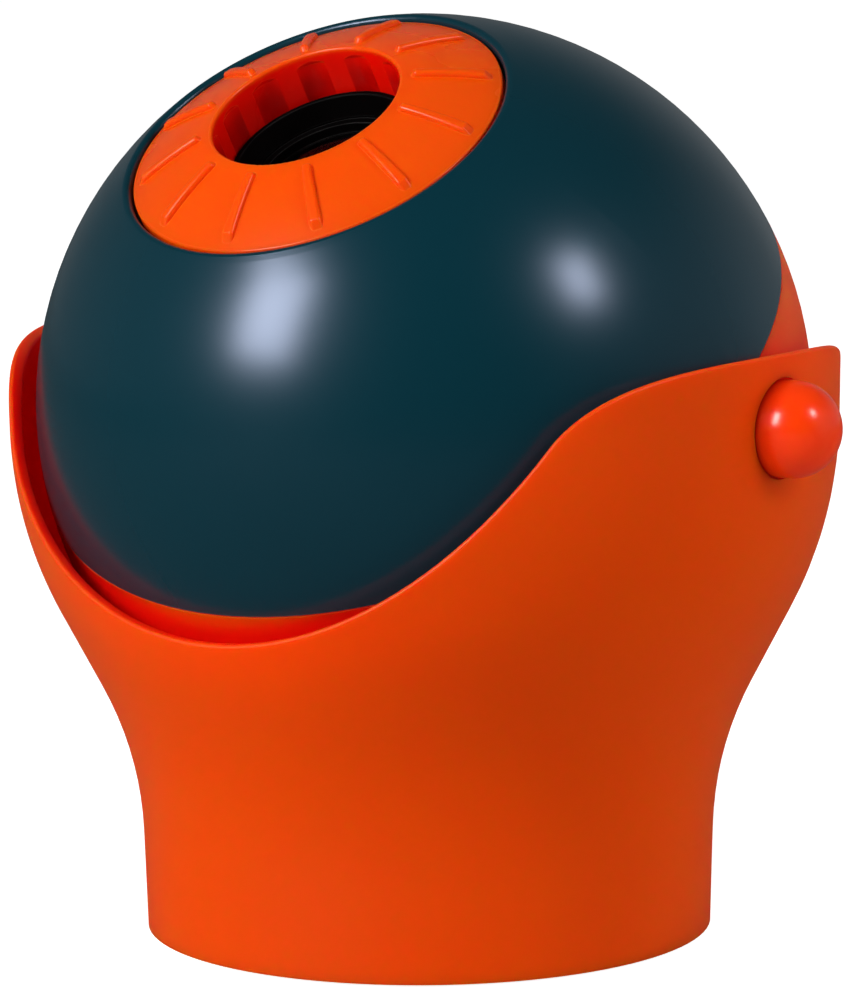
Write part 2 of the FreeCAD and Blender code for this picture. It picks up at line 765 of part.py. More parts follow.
def rib():
    """One grip rib along +X, wider at its outer end, its top following the crown."""
    def at(r, over):
        return (r, crown(r) + over)

    in_top, out_top = rib_in_r + rib_slope, rib_out_r - rib_slope
    middle = (rib_in_r + rib_out_r) / 2
    # the sloped ends run on under the crown
    run = rib_slope * rib_root / rib_h
    low, high = at(rib_in_r - run, -rib_root), at(rib_out_r + run, -rib_root)
    edges = [arc(at(in_top, rib_h), at(middle, rib_h), at(out_top, rib_h))]
    edges += chain([at(out_top, rib_h), high, low, at(in_top, rib_h)])
    bar = moved(Part.Face(Part.Wire(edges)), y=-rib_out_w).extrude(V(0, 2 * rib_out_w, 0))
    spread = (rib_out_w - rib_in_w) / (rib_out_r - rib_in_r) * run
    in_half, out_half = (rib_in_w - spread) / 2, (rib_out_w + spread) / 2
    x0, x1 = rib_in_r - run, rib_out_r + run
    plan = [V(x0, -in_half, 0), V(x1, -out_half, 0), V(x1, out_half, 0), V(x0, in_half, 0)]
    bar = bar.common(prism(plan, V(0, 0, far)))
    return bar.makeFillet(rib_round, [e for e in bar.Edges if e.CenterOfMass.z > crown(e.CenterOfMass.x)])


def cam_slots():
    """Three helical slots in the ring's sleeve; each lug of the barrel runs in one."""
    half_w = lug_r + lug_gap
    middle_r = window_r + sleeve_t / 2
    step = (focus_back + focus_out) / cam_steps
    run, rise = middle_r * math.radians(step), focus_pitch * step / 360
    length = math.hypot(run, rise) + 0.8 * half_w
    pieces = []
    for k in range(cam_steps):
        ring_turn = -focus_back + (k + 0.5) * step
        piece = block(window_r - 1, sleeve_r + 1, -length / 2, length / 2, -half_w, half_w)
        piece = turned(piece, math.degrees(math.atan2(-rise, run)), X)
        piece = moved(piece, z=lug_z + focus_pitch * ring_turn / 360)
        pieces.append(turned(piece, -ring_turn))
    for ring_turn in (-focus_back, focus_out):
        end_z = lug_z + focus_pitch * ring_turn / 360
        end = Part.makeCylinder(half_w, sleeve_t + 2, V(window_r - 1, 0, end_z), X)
        pieces.append(turned(end, -ring_turn))
    return around(pieces[0].fuse(pieces[1:]), lug_count, lug_start)


def focus_ring():
    ring = ring_body()
    centre, top = window_r + flute_deep - flute_r, crown(window_r) - flute_top_drop
    flute = rod(flute_r, seat_top_z, top - flute_end, centre)
    flute = flute.fuse(Part.makeCone(flute_r, flute_r - flute_sag, flute_end, V(centre, 0, top - flute_end)))
    for one in around(flute, flute_count, rib_phase + flute_phase):
        ring = ring.cut(one)
    for slot in cam_slots():
        ring = ring.cut(slot)
    ring = ring.fuse(around(rib(), rib_count, rib_phase))
    hole_r = small_screw_r + screw_hole_gap
    hole = rod(hole_r, retainer_top_z - 1, retainer_top_z + retainer_screw_in + 1, collar_screw_r)
    for one in around(hole, retainer_screw_count, rib_phase + retainer_screw_turn):
        ring = ring.cut(one)
    return ring.removeSplitter()


def ring_retainer():
    ring = tube(retainer_r, sleeve_r + push_gap, retainer_top_z - retainer_t, retainer_top_z)
    hole = rod(small_screw_r + fit_gap, 0, far, collar_screw_r)
    for one in around(hole, retainer_screw_count, rib_phase + retainer_screw_turn):
        ring = ring.cut(one)
    return ring


def retainer_screws():
    head_r = min(small_head_r, collar_screw_r - sleeve_r - push_gap)
    length, low = retainer_t + retainer_screw_in, retainer_top_z - retainer_t
    one = screw(small_screw_r, length, head_r, small_head_t / 2, low, collar_screw_r)
    return Part.makeCompound(around(one, retainer_screw_count, rib_phase + retainer_screw_turn))


def lens_barrel():
    low = barrel_front_z - barrel_len
    pocket_r = lens_r + push_gap
    mouth_z = barrel_front_z - barrel_mouth_deep
    barrel = rod(barrel_r, low, barrel_front_z).cut(rod(lens_bore_r, low - 1, far))
    barrel = barrel.cut(rod(pocket_r, front_lens_z, far))
    barrel = barrel.cut(Part.makeCone(pocket_r, barrel_mouth_r, barrel_front_z - mouth_z, V(0, 0, mouth_z)))
    barrel = barrel.cut(rod(pocket_r, low - 1, low + rear_lens_t))
    front = [e for e in barrel.Edges if e.BoundBox.ZMin > barrel_front_z - touch]
    barrel = barrel.makeFillet(barrel_edge_r, front)
    lug = Part.makeCylinder(lug_r, lug_reach - lens_r - 1, V(lens_r + 1, 0, lug_z), X)
    return barrel.fuse(around(lug, lug_count, lug_start)).removeSplitter()


def lens_retainer():
    low = front_lens_z + lens_edge_t
    return tube(lens_r, lens_r - lens_retainer_w, low, low + lens_retainer_t)


def front_lens():
    return lens(lens_r, front_lens_z, lens_edge_t, lens_bulge, lens_retainer_w + 2 * push_gap)


def rear_lens():
    rim = lens_r - lens_bore_r + 2 * push_gap
    return lens(lens_r, barrel_front_z - barrel_len, rear_lens_t, rear_lens_bulge, rim)


def lens_guide():
    inner = sleeve_r + guide_gap
    tube_part = tube(inner + guide_wall, inner, gate_top_z, guide_top_z)
    flange = tube(inner + 3 * guide_wall, inner, gate_top_z, gate_top_z + guide_wall)
    guide = tube_part.fuse(flange)
    half_w = lug_r + lug_gap
    low = lug_z - focus_pitch * focus_back / 360 - half_w
    key = block(sleeve_r - 1, inner + 4 * guide_wall, -half_w, half_w, low, guide_top_z + 1)
    for one in around(key, lug_count, lug_start):
        guide = guide.cut(one)
    return guide.removeSplitter()


# ---- picture gate -------------------------------------------------------------------------------------
def gate_outline(z0, z1):
    """The gate's plate: round the disc and round the lens axis, inside the ball."""
    plate = rod(gate_r, z0, z1, disc_x, disc_y).fuse(rod(sleeve_r + guide_gap + 3 * guide_wall, z0, z1))
    for turn in well_turns:
        plate = plate.cut(turned(rod(front_boss_r + run_gap, z0 - 1, z1 + 1, well_circle_r), turn))
    return plate.common(ball(ball_in_r - run_gap - fit_gap)).removeSplitter()


def slide_gate():
    low, floor, top = gate_low_z, disc_z - gate_gap, disc_z + disc_t + gate_gap
    gate = gate_outline(low, floor)
    rim = gate_outline(floor - 0.5, top).cut(rod(disc_r + gate_edge_gap, floor - 1, top + 1, disc_x, disc_y))
    gate = gate.fuse(rim).cut(rod(gate_window_r, low - 1, top + 1))
    gate = gate.fuse(rod(spindle_r, low, top, disc_x, disc_y))
    return largest(gate.cut(detent_pocket(floor, top + 1)).cut(thumb_ball(ball_wall + run_gap)))


def at_detent(shape):
    """From beside the disc on +X to the detent's place at the disc's edge."""
    return moved(turned(shape, detent_turn), disc_x, disc_y)


def detent_pocket(z0, z1):
    """Room for the leaf spring in the gate's rim."""
    half = detent_len / 2 + 2 * run_gap
    return at_detent(block(disc_r - 2, detent_back_r + push_gap, -half, half, z0, z1))


def detent_spring():
    """A leaf with a bent nose, its nose just clear of the disc's edge."""
    low, top = disc_z - gate_gap + push_gap, disc_z + disc_t + gate_gap - push_gap
    end, back, face = detent_len / 2, detent_back_r, detent_back_r - detent_leaf_t
    nose, under = disc_r + 2 * push_gap, disc_r + 2 * push_gap + 1.3 * detent_leaf_t
    bend, tip_w = 0.7 * end, 0.6
    outline = [(back, -end), (back, end), (face, end), (face, bend), (nose, tip_w), (nose, -tip_w),
               (face, -bend), (face, -end)]
    inner = [(face, -0.85 * bend), (under, -0.7 * tip_w), (under, 0.7 * tip_w), (face, 0.85 * bend)]
    spring = prism([V(x, y, low) for x, y in outline], V(0, 0, top - low))
    return at_detent(spring.cut(prism([V(x, y, low - 1) for x, y in inner], V(0, 0, top - low + 2))))


def gate_cover():
    low, top = disc_z + disc_t + gate_gap, gate_top_z
    cover = gate_outline(low, top).cut(rod(gate_window_r, low - 1, top + 1))
    return largest(cover.cut(thumb_ball(ball_wall + run_gap)))


def on_disc(r, degrees):
    """A point at a radius and direction from the disc's centre."""
    a = math.radians(degrees)
    return disc_x + r * math.cos(a), disc_y + r * math.sin(a)


def picture_places():
    return [on_disc(disc_offset, disc_turn + 180 + 360.0 * k / picture_count) for k in range(picture_count)]


def slide_disc():
    disc = rod(disc_r, disc_z, disc_z + disc_t, disc_x, disc_y)
    disc = disc.cut(rod(spindle_r + spindle_gap, disc_z - 1, disc_z + disc_t + 1, disc_x, disc_y))
    shelf = disc_z + (disc_t - picture_t) / 2
    for x, y in picture_places():
        disc = disc.cut(rod(picture_r - picture_lip, disc_z - 1, disc_z + disc_t + 1, x, y))
        disc = disc.cut(rod(picture_r + push_gap, shelf, disc_z + disc_t + 1, x, y))
    for k in range(picture_count):
        x, y = on_disc(disc_r, detent_turn + 360.0 * k / picture_count)
        disc = disc.cut(rod(detent_r, disc_z - 1, disc_z + disc_t + 1, x, y))
    return disc


def slide_frames():
    shelf = disc_z + (disc_t - picture_t) / 2
    return Part.makeCompound([rod(picture_r, shelf, shelf + picture_t, x, y) for x, y in picture_places()])


# ---- lamp, chassis and electrics ----------------------------------------------------------------------
def mid_plate():
    plate = rod(plate_r, plate_z, plate_top_z)
    half_w = pivot_boss_r + 2
    notch = block(pivot_seat_x - screw_head_t - 2, far, -half_w, half_w, -far, far)
    plate = plate.cut(notch).cut(turned(notch, 180))
    for turn in well_turns:
        plate = plate.cut(turned(rod(screw_r + fit_gap, plate_z - 1, plate_top_z + 1, well_circle_r), turn))
    drop, half_w = math.radians(tray_drop), tray_half_w + 2
    # the tray's floor where it passes the plate
    notch_y = tray_floor / math.cos(drop) + plate_z * math.tan(drop) - tray_room
    plate = plate.cut(block(-half_w, half_w, notch_y, far, -far, far))
    return plate.cut(rod(lead_hole_r, plate_z - 1, plate_top_z + 1, 0, board_y)).removeSplitter()


def lamp_tube():
    bore = lamp_tube_r - lamp_tube_wall
    body = tube(lamp_tube_r, bore, plate_top_z, gate_low_z)
    body = body.fuse(tube(lamp_flange_r, bore, plate_top_z, plate_top_z + lamp_flange_t))
    body = body.fuse(tube(lamp_flange_r, bore, gate_low_z - lamp_flange_t, gate_low_z))
    shelf_low = condenser_z - condenser_shelf
    shelf = tube(bore + lamp_tube_wall / 2, bore - condenser_shelf, shelf_low, condenser_z - push_gap)
    return body.fuse(shelf).removeSplitter()


def condenser_lens():
    r = lamp_tube_r - lamp_tube_wall - push_gap
    return lens(r, condenser_z, condenser_edge_t, condenser_bulge, condenser_rim)


def led_board():
    board = rod(led_board_r, plate_top_z, plate_top_z + led_board_t)
    for one in around(rod(led_notch_r, 0, far, led_board_r), led_notch_count, led_notch_turn):
        board = board.cut(one)
    return board


def projector_led():
    low = plate_top_z + led_board_t
    top = low + led_base_t
    base = block(-led_r, led_r, -led_r, led_r, low, top)
    return base.fuse(cap(0.85 * led_r, led_h - led_base_t, top)).removeSplitter()


def circuit_board():
    top = plate_z - board_standoff
    half_w, half_d = board_w / 2, board_d / 2
    board = block(-half_w, half_w, board_y - half_d, board_y + half_d, top - board_t, top)
    for sx in (-1, 1):
        for sy in (-1, 1):
            x, y = sx * (half_w - board_post_in), board_y + sy * (half_d - board_post_in)
            board = board.fuse(rod(board_post_r, top, plate_z, x, y))
    low, half = top - board_t, chip_w / 2
    board = board.fuse(block(-half, half, board_y - half, board_y + half, low - chip_t, low))
    for x in (-capacitor_x, capacitor_x):
        board = board.fuse(rod(capacitor_r, low - capacitor_h, low, x, board_y))
    return board.removeSplitter()


# ---- star projector -----------------------------------------------------------------------------------
def star_dome():
    inner_r, half = dome_r - dome_wall, math.sqrt(0.5)
    top = gear_z - dome_z
    edges = [
        arc((0, -dome_r), (half * dome_r, -half * dome_r), (dome_r, 0)),
        line((dome_r, 0), (dome_r, top)),
        line((dome_r, top), (inner_r, top)),
        line((inner_r, top), (inner_r, 0)),
        arc((inner_r, 0), (half * inner_r, -half * inner_r), (0, -inner_r)),
        line((0, -inner_r), (0, -dome_r)),
    ]
    return moved(spun(edges), z=dome_z)


def dome_gear():
    wheel = turned(gear(gear_teeth, gear_module, gear_t, gear_z), 180.0 / gear_teeth)
    return wheel.cut(rod(dome_r - dome_wall, gear_z - 1, gear_z + gear_t + 1))


def dome_carrier():
    top = carrier_z + carrier_t
    pilot_r = dome_r - dome_wall - pilot_gap
    plate = rod(carrier_r, carrier_z, top).fuse(rod(motor_w * 0.8, carrier_z, top, 0, pinion_y))
    plate = plate.fuse(rod(pilot_r, gear_z, carrier_z))
    plate = plate.cut(rod(pilot_r - pilot_wall, gear_z - 1, carrier_z))
    plate = plate.cut(rod(2 * motor_shaft_r, carrier_z - 1, top + 1, 0, pinion_y))
    hole = rod(small_screw_r + fit_gap, carrier_z - 1, top + 1, standoff_circle_r)
    for turn in standoff_turns:
        plate = plate.cut(turned(hole, turn))
    return plate.removeSplitter()


def carrier_screws():
    length = carrier_t + 0.8 * (carrier_z - funnel_top_z)
    one = turned(screw(small_screw_r, length, small_head_r, small_head_t), 180, X)
    one = moved(one, standoff_circle_r, 0, carrier_z + carrier_t)
    return Part.makeCompound([turned(one, turn) for turn in standoff_turns])


def star_lamp():
    post = rod(post_r, dome_z + 1, carrier_z)
    led = rod(star_led_r, dome_z, dome_z + 1).fuse(moved(ball(star_led_r), z=dome_z))
    return post.fuse(led).removeSplitter()


def gearmotor():
    low = carrier_z + carrier_t
    middle, top = low + 0.4 * motor_len, low + motor_len
    y0, y1 = pinion_y - motor_d / 2, pinion_y + motor_d / 2
    can = rod(motor_w / 2, middle, top, 0, pinion_y).common(block(-far, far, y0, y1, middle, top))
    body = block(-motor_w / 2, motor_w / 2, y0, y1, low, middle).fuse(can)
    body = body.fuse(rod(motor_boss_r, top, top + motor_boss_h, 0, pinion_y))
    bore = rod(motor_shaft_r + shaft_seat_gap, low - 1, low + motor_shaft_in, 0, pinion_y)
    return body.cut(bore).removeSplitter()


def drive_pinion():
    wheel = moved(turned(gear(pinion_teeth, gear_module, gear_t, gear_z), 90), y=pinion_y)
    shaft_top = carrier_z + carrier_t + motor_shaft_in - run_gap
    return wheel.fuse(rod(motor_shaft_r, gear_z, shaft_top, 0, pinion_y)).removeSplitter()


# ---- batteries and switch -----------------------------------------------------------------------------
def on_tray(shape):
    """From the tray's frame (+Y outwards through the door, X along the cells) to the lens frame."""
    return turned(shape, -tray_drop, X)


def cell_heights():
    return [(k - (cell_count - 1) / 2.0) * cell_pitch for k in range(cell_count)]


def battery_cells():
    cells = []
    for k, z in enumerate(cell_heights()):
        end = cell_len / 2
        shoulder = end - cell_tip_h
        body = cross_rod(cell_r, -end, shoulder).fuse(cross_rod(cell_tip_r, shoulder - 1, end))
        body = turned(body.removeSplitter(), 180 * (k % 2))
        cells.append(on_tray(moved(body, 0, cell_circle_r, z)))
    return Part.makeCompound(cells)


def battery_tray():
    tray = block(-tray_half_w, tray_half_w, tray_floor, ball_r, -tray_half_h, tray_half_h)
    tray = tray.common(ball(ball_in_r - ball_wall - fit_gap))
    in_w, in_h = tray_half_w - tray_wall, tray_half_h - tray_wall
    tray = tray.cut(block(-in_w, in_w, cell_circle_r, far, -in_h, in_h))
    for z in cell_heights():
        tray = tray.cut(moved(cross_rod(cell_r + 2 * push_gap, -in_w, in_w), 0, cell_circle_r, z))
    return on_tray(tray.removeSplitter())


def battery_contacts():
    """Flat contacts at one end of each cell and coil springs, as short cones, at the other."""
    end, wall_x = cell_len / 2, cell_len / 2 + tray_end_room
    half = contact_w / 2
    flat = block(end, end + contact_t, -half, half, -half, half)
    flat = flat.fuse(block(end + contact_t, wall_x, -half, contact_t - half, -half, half))
    coil = Part.makeCone(coil_tip_r, coil_root_r, wall_x - contact_t - end, V(end, 0, 0), X)
    coil = coil.fuse(block(wall_x - contact_t, wall_x, -half, half, -half, half))
    pieces = []
    for k, z in enumerate(cell_heights()):
        for shape, turn in ((flat, 180 * (k % 2)), (coil, 180 * (k % 2) + 180)):
            pieces.append(on_tray(moved(turned(shape, turn), 0, cell_circle_r, z)))
    return Part.makeCompound(pieces)


def battery_door():
    """The patch of the ball's skin over the batteries, with a thin rim that sits on the ledge."""
    skin = ball(ball_r).cut(ball(ball_in_r + fit_gap))
    door = skin.common(door_frame(door_half_w - door_gap, door_half_h - door_gap, cell_circle_r, far))
    hole = Part.makeCylinder(door_screw_r + fit_gap, far, V(0, 0, door_screw_z), Y)
    recess = Part.makeCylinder(door_screw_head_r + fit_gap, far, V(0, door_screw_seat, door_screw_z), Y)
    return door.cut(on_tray(hole)).cut(on_tray(recess))


def door_screw():
    seat, z, slot = door_screw_seat, door_screw_z, screw_slot_w / 2
    head = Part.makeCylinder(door_screw_head_r, door_screw_head_t, V(0, seat, z), Y)
    reach = 0.7 * door_screw_head_r
    head = head.cut(block(-slot, slot, seat + door_screw_head_t / 2, far, z - reach, z + reach))
    shank = Part.makeCylinder(door_screw_r, door_screw_len, V(0, seat - door_screw_len, z), Y)
    return on_tray(head.fuse(shank).removeSplitter())


def power_switch():
    """A ridged thumb piece in the slot, with a foot under the shell."""
    half_w, half_l, top = switch_knob_w / 2, switch_knob_len / 2, ball_r + switch_knob_proud
    low = ball_in_r - 2 * switch_foot_t
    stem = block(low, top, -half_w, half_w, -half_l, half_l).common(ball(top))
    half_g = switch_groove_w / 2
    for z in (-switch_groove_pitch, 0.0, switch_groove_pitch):
        stem = stem.cut(block(top - 3 * half_g, far, -far, far, z - half_g, z + half_g))
    foot_w, foot_l = half_w + switch_foot_t, half_l + switch_foot_t
    foot = block(low, low + switch_foot_t, -foot_w, foot_w, -foot_l, foot_l)
    return switch_place(stem.fuse(foot).removeSplitter())


def switch_body():
    front = ball_in_r - 2 * switch_foot_t - run_gap
    back = front - switch_body_t
    half_w, half_l, pin = switch_body_w / 2, switch_body_len / 2, switch_pin_w / 2
    body = block(back, front, -half_w, half_w, -half_l, half_l)
    for z in (-switch_pin_pitch, 0, switch_pin_pitch):
        body = body.fuse(block(back - switch_pin_len, back, -pin, pin, z - contact_t / 2, z + contact_t / 2))
    for z in (-half_l, half_l):
        end = block(front - 1, ball_r, -half_w, half_w, z - switch_end_t / 2, z + switch_end_t / 2)
        body = body.fuse(end.common(ball(ball_in_r - touch)))
    return switch_place(body.removeSplitter())


# ---- write every piece --------------------------------------------------------------------------------
def on_pivots(shape):
    return moved(shape, z=ball_height)


stand_pieces = {
    "stand_shell": stand_shell,
    "base_plate": base_plate,
    "base_screws": base_screws,
    "rubber_feet": rubber_feet,
}
pivot_pieces = {
    "right_knob": lambda: knob(1),
    "left_knob": lambda: knob(-1),
    "pivot_washers": pivot_washers,
    "pivot_screws": pivot_screws,
}
ball_pieces = {
    "front_shell": front_shell,
    "rear_shell": rear_shell,
    "shell_screws": shell_screws,
    "focus_ring": focus_ring,
    "ring_retainer": ring_retainer,
    "retainer_screws": retainer_screws,
    "lens_barrel": lens_barrel,
    "lens_retainer": lens_retainer,
    "front_lens": front_lens,
    "rear_lens": rear_lens,
    "lens_guide": lens_guide,
    "slide_gate": slide_gate,
    "gate_cover": gate_cover,
    "detent_spring": detent_spring,
    "slide_disc": slide_disc,
    "slide_frames": slide_frames,
    "mid_plate": mid_plate,
    "lamp_tube": lamp_tube,
    "condenser_lens": condenser_lens,
    "led_board": led_board,
    "projector_led": projector_led,
    "circuit_board": circuit_board,
    "star_dome": star_dome,
    "dome_gear": dome_gear,
    "dome_carrier": dome_carrier,
    "carrier_screws": carrier_screws,
    "star_lamp": star_lamp,
    "gearmotor": gearmotor,
    "drive_pinion": drive_pinion,
    "battery_cells": battery_cells,
    "battery_tray": battery_tray,
    "battery_contacts": battery_contacts,
    "battery_door": battery_door,
    "door_screw": door_screw,
    "power_switch": power_switch,
    "switch_body": switch_body,
}

for name, make in stand_pieces.items():
    write(name, make())
for name, make in pivot_pieces.items():
    write(name, on_pivots(make()))
for name, make in ball_pieces.items():
    write(name, tip(make()))
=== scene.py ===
import bpy
import json
import math
from mathutils import Matrix, Vector

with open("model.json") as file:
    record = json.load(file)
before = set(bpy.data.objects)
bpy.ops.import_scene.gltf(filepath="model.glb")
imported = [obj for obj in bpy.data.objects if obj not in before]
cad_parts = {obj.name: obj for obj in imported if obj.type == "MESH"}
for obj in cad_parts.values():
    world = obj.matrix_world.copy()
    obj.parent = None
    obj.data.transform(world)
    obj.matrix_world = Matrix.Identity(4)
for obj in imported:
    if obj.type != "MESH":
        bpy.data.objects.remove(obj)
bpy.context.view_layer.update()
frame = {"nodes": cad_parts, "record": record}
nodes = frame["nodes"]
print("frame loaded:", len(nodes), "nodes")

# ball and stand, in metres, as the frame has them
ballCentre = Vector((0, 0, 0.1025))
lensTilt = math.radians(57.4)
lensAxis = Vector((0, -math.cos(lensTilt), math.sin(lensTilt)))

# camera
mainView = {
    "turn": 34.578,        # degrees round the object, from -Y towards +X
    "rise": 8.06,
    "roll": -0.566,
    "distance": 0.9009,
    "aimHeight": 0.083836,
    "lens": 166.905,
    "shift": (0.00173, -0.00229),
    "clip": (0.05, 100),
}


def viewAxes(turn, rise, roll):
    a, e, t = (math.radians(v) for v in (turn, rise, roll))
    back = Vector((math.sin(a) * math.cos(e), -math.cos(a) * math.cos(e), math.sin(e)))
    right = Vector((math.cos(a), math.sin(a), 0))
    up = back.cross(right)
    return (right * math.cos(t) + up * math.sin(t), up * math.cos(t) - right * math.sin(t), back)


right, up, back = viewAxes(mainView["turn"], mainView["rise"], mainView["roll"])
cameraData = bpy.data.cameras.new("mainCamera")
camera = bpy.data.objects.new("mainCamera", cameraData)
bpy.context.scene.collection.objects.link(camera)
cameraData.lens = mainView["lens"]
cameraData.shift_x, cameraData.shift_y = mainView["shift"]
cameraData.clip_start, cameraData.clip_end = mainView["clip"]
cameraPlace = Vector((0, 0, mainView["aimHeight"])) + back * mainView["distance"]
camera.matrix_world = Matrix((
    (right.x, up.x, back.x, cameraPlace.x),
    (right.y, up.y, back.y, cameraPlace.y),
    (right.z, up.z, back.z, cameraPlace.z),
    (0, 0, 0, 1),
))
bpy.context.scene.camera = camera
bpy.context.scene.view_settings.view_transform = "Standard"
print("camera set")

# lamps: each stands off the ball's centre, at a turn and rise seen from the camera
lamps = {
    "keyBox": {"turn": -46.3, "rise": 22.5, "away": 1.3, "size": (0.38, 0.56), "watts": 17.5, "inGloss": True},
    "fillBox": {"turn": 50, "rise": 31, "away": 1.3, "size": (0.2, 0.26), "watts": 4.6, "inGloss": True},
    "rightWall": {"turn": 78, "rise": 2, "away": 1.3, "size": (1.3, 1.3), "watts": 9.0, "inGloss": False},
    "topWall": {"turn": 20, "rise": 80, "away": 1.4, "size": (1.0, 1.0), "watts": 1.0, "inGloss": False},
}


def seenFrom(turn, rise):
    turn, rise = math.radians(turn), math.radians(rise)
    return right * math.sin(turn) * math.cos(rise) + up * math.sin(rise) + back * math.cos(turn) * math.cos(rise)


def addLamp(name, spec):
    data = bpy.data.lights.new(name, "AREA")
    data.shape = "RECTANGLE"
    data.size, data.size_y = spec["size"]
    data.energy = spec["watts"]
    lamp = bpy.data.objects.new(name, data)
    bpy.context.scene.collection.objects.link(lamp)
    away = seenFrom(spec["turn"], spec["rise"])
    lamp.location = ballCentre + away * spec["away"]
    lamp.rotation_euler = away.to_track_quat("Z", "Y").to_euler()
    lamp.visible_glossy = spec["inGloss"]


for name, spec in lamps.items():
    addLamp(name, spec)


def addNode(tree, kind, **values):
    node = tree.nodes.new(kind)
    for key, value in values.items():
        setattr(node, key, value)
    return node


def mathNode(tree, operation, a, b=None, c=None, clamp=False):
    node = addNode(tree, "ShaderNodeMath", operation=operation, use_clamp=clamp)
    for socket, value in zip(node.inputs, (a, b, c)):
        if value is None:
            continue
        if isinstance(value, (int, float)):
            socket.default_value = value
        else:
            tree.links.new(value, socket)
    return node.outputs[0]


def dotNode(tree, vector, direction):
    node = addNode(tree, "ShaderNodeVectorMath", operation="DOT_PRODUCT")
    tree.links.new(vector, node.inputs[0])
    node.inputs[1].default_value = direction
    return node.outputs["Value"]


def rangeNode(tree, value, start, end, low=0.0, high=1.0):
    node = addNode(tree, "ShaderNodeMapRange", interpolation_type="SMOOTHSTEP")
    tree.links.new(value, node.inputs["Value"])
    for label, number in zip(("From Min", "From Max", "To Min", "To Max"), (start, end, low, high)):
        node.inputs[label].default_value = number
    return node.outputs["Result"]


# room: dim walls round the object, as soft patches at a turn and rise seen from the camera
room = {
    "patches": [
        {"name": "rightSide", "turn": 100, "rise": 0, "reach": 50, "level": 0.25},
        {"name": "backSide", "turn": 180, "rise": 10, "reach": 55, "level": 0.1},
        {"name": "rightCorner", "turn": 140, "rise": 10, "reach": 40, "level": 0.12},
        {"name": "leftSide", "turn": -100, "rise": 5, "reach": 50, "level": 0.11},
    ],
    "base": 0.01,
    "tint": (0.92, 0.96, 1.0),
    "white": 1.0,
    "whiteInGloss": 0.06,   # how much of the white background a glossy surface shows
}
world = bpy.data.worlds.new("room")
bpy.context.scene.world = world
world.use_nodes = True
tree = world.node_tree
tree.nodes.clear()
coords = addNode(tree, "ShaderNodeTexCoord")
level = None
for patch in room["patches"]:
    near = dotNode(tree, coords.outputs["Generated"], seenFrom(patch["turn"], patch["rise"]))
    part = rangeNode(tree, near, math.cos(math.radians(patch["reach"])), 1.0, 0.0, patch["level"])
    level = mathNode(tree, "ADD", part, room["base"] if level is None else level)
roomLight = addNode(tree, "ShaderNodeBackground")
roomLight.inputs["Color"].default_value = (*room["tint"], 1)
tree.links.new(level, roomLight.inputs["Strength"])
whiteLight = addNode(tree, "ShaderNodeBackground")
whiteLight.inputs["Color"].default_value = (1, 1, 1, 1)
whiteLight.inputs["Strength"].default_value = room["white"]


# a mask of the rays that see the plain white background
def seenWhite(tree, glossShare):
    path = addNode(tree, "ShaderNodeLightPath")
    gloss = mathNode(tree, "MULTIPLY", path.outputs["Is Glossy Ray"], glossShare)
    straight = mathNode(tree, "MAXIMUM", path.outputs["Is Camera Ray"], path.outputs["Is Transmission Ray"])
    return mathNode(tree, "MAXIMUM", straight, gloss, clamp=True)


mix = addNode(tree, "ShaderNodeMixShader")
tree.links.new(seenWhite(tree, room["whiteInGloss"]), mix.inputs[0])
tree.links.new(roomLight.outputs[0], mix.inputs[1])
tree.links.new(whiteLight.outputs[0], mix.inputs[2])
output = addNode(tree, "ShaderNodeOutputWorld")
tree.links.new(mix.outputs[0], output.inputs["Surface"])

# floor
floorLook = {
    "colour": 0.66,
    "colourInGloss": 0.08,   # glossy surfaces see a darker floor
    "rough": 0.9,
    "specular": 0.1,
    "glow": 0.9,             # near the object, where the lamps add the rest
    "glowFar": 1.0,
    "fade": (0.3, 1.1),      # metres from the object
    "radius": 12.0,
}
floorMesh = bpy.data.meshes.new("floor")
reach = floorLook["radius"]
corners = [(-reach, -reach, 0), (reach, -reach, 0), (reach, reach, 0), (-reach, reach, 0)]
floorMesh.from_pydata(corners, [], [(0, 1, 2, 3)])
floor = bpy.data.objects.new("floor", floorMesh)
bpy.context.scene.collection.objects.link(floor)
floorMaterial = bpy.data.materials.new("floorPaper")
floorMaterial.use_nodes = True
tree = floorMaterial.node_tree
shader = tree.nodes["Principled BSDF"]
path = addNode(tree, "ShaderNodeLightPath")
grey = rangeNode(tree, path.outputs["Is Glossy Ray"], 0, 1, floorLook["colour"], floorLook["colourInGloss"])
tree.links.new(grey, shader.inputs["Base Color"])
shader.inputs["Roughness"].default_value = floorLook["rough"]
shader.inputs["Specular IOR Level"].default_value = floorLook["specular"]
shader.inputs["Emission Color"].default_value = (1, 1, 1, 1)
coords = addNode(tree, "ShaderNodeTexCoord")
away = addNode(tree, "ShaderNodeVectorMath", operation="LENGTH")
tree.links.new(coords.outputs["Object"], away.inputs[0])
level = rangeNode(tree, away.outputs["Value"], *floorLook["fade"], floorLook["glow"], floorLook["glowFar"])
glow = mathNode(tree, "MULTIPLY", seenWhite(tree, room["whiteInGloss"]), level)
tree.links.new(glow, shader.inputs["Emission Strength"])
floorMesh.materials.append(floorMaterial)
print("room and floor set")


# shared shader groups
def newGroup(name, inputs, outputs):
    group = bpy.data.node_groups.new(name, "ShaderNodeTree")
    for label, kind, value in inputs:
        socket = group.interface.new_socket(label, in_out="INPUT", socket_type=kind)
        socket.default_value = value
    for label, kind in outputs:
        group.interface.new_socket(label, in_out="OUTPUT", socket_type=kind)
    return group, addNode(group, "NodeGroupInput"), addNode(group, "NodeGroupOutput")


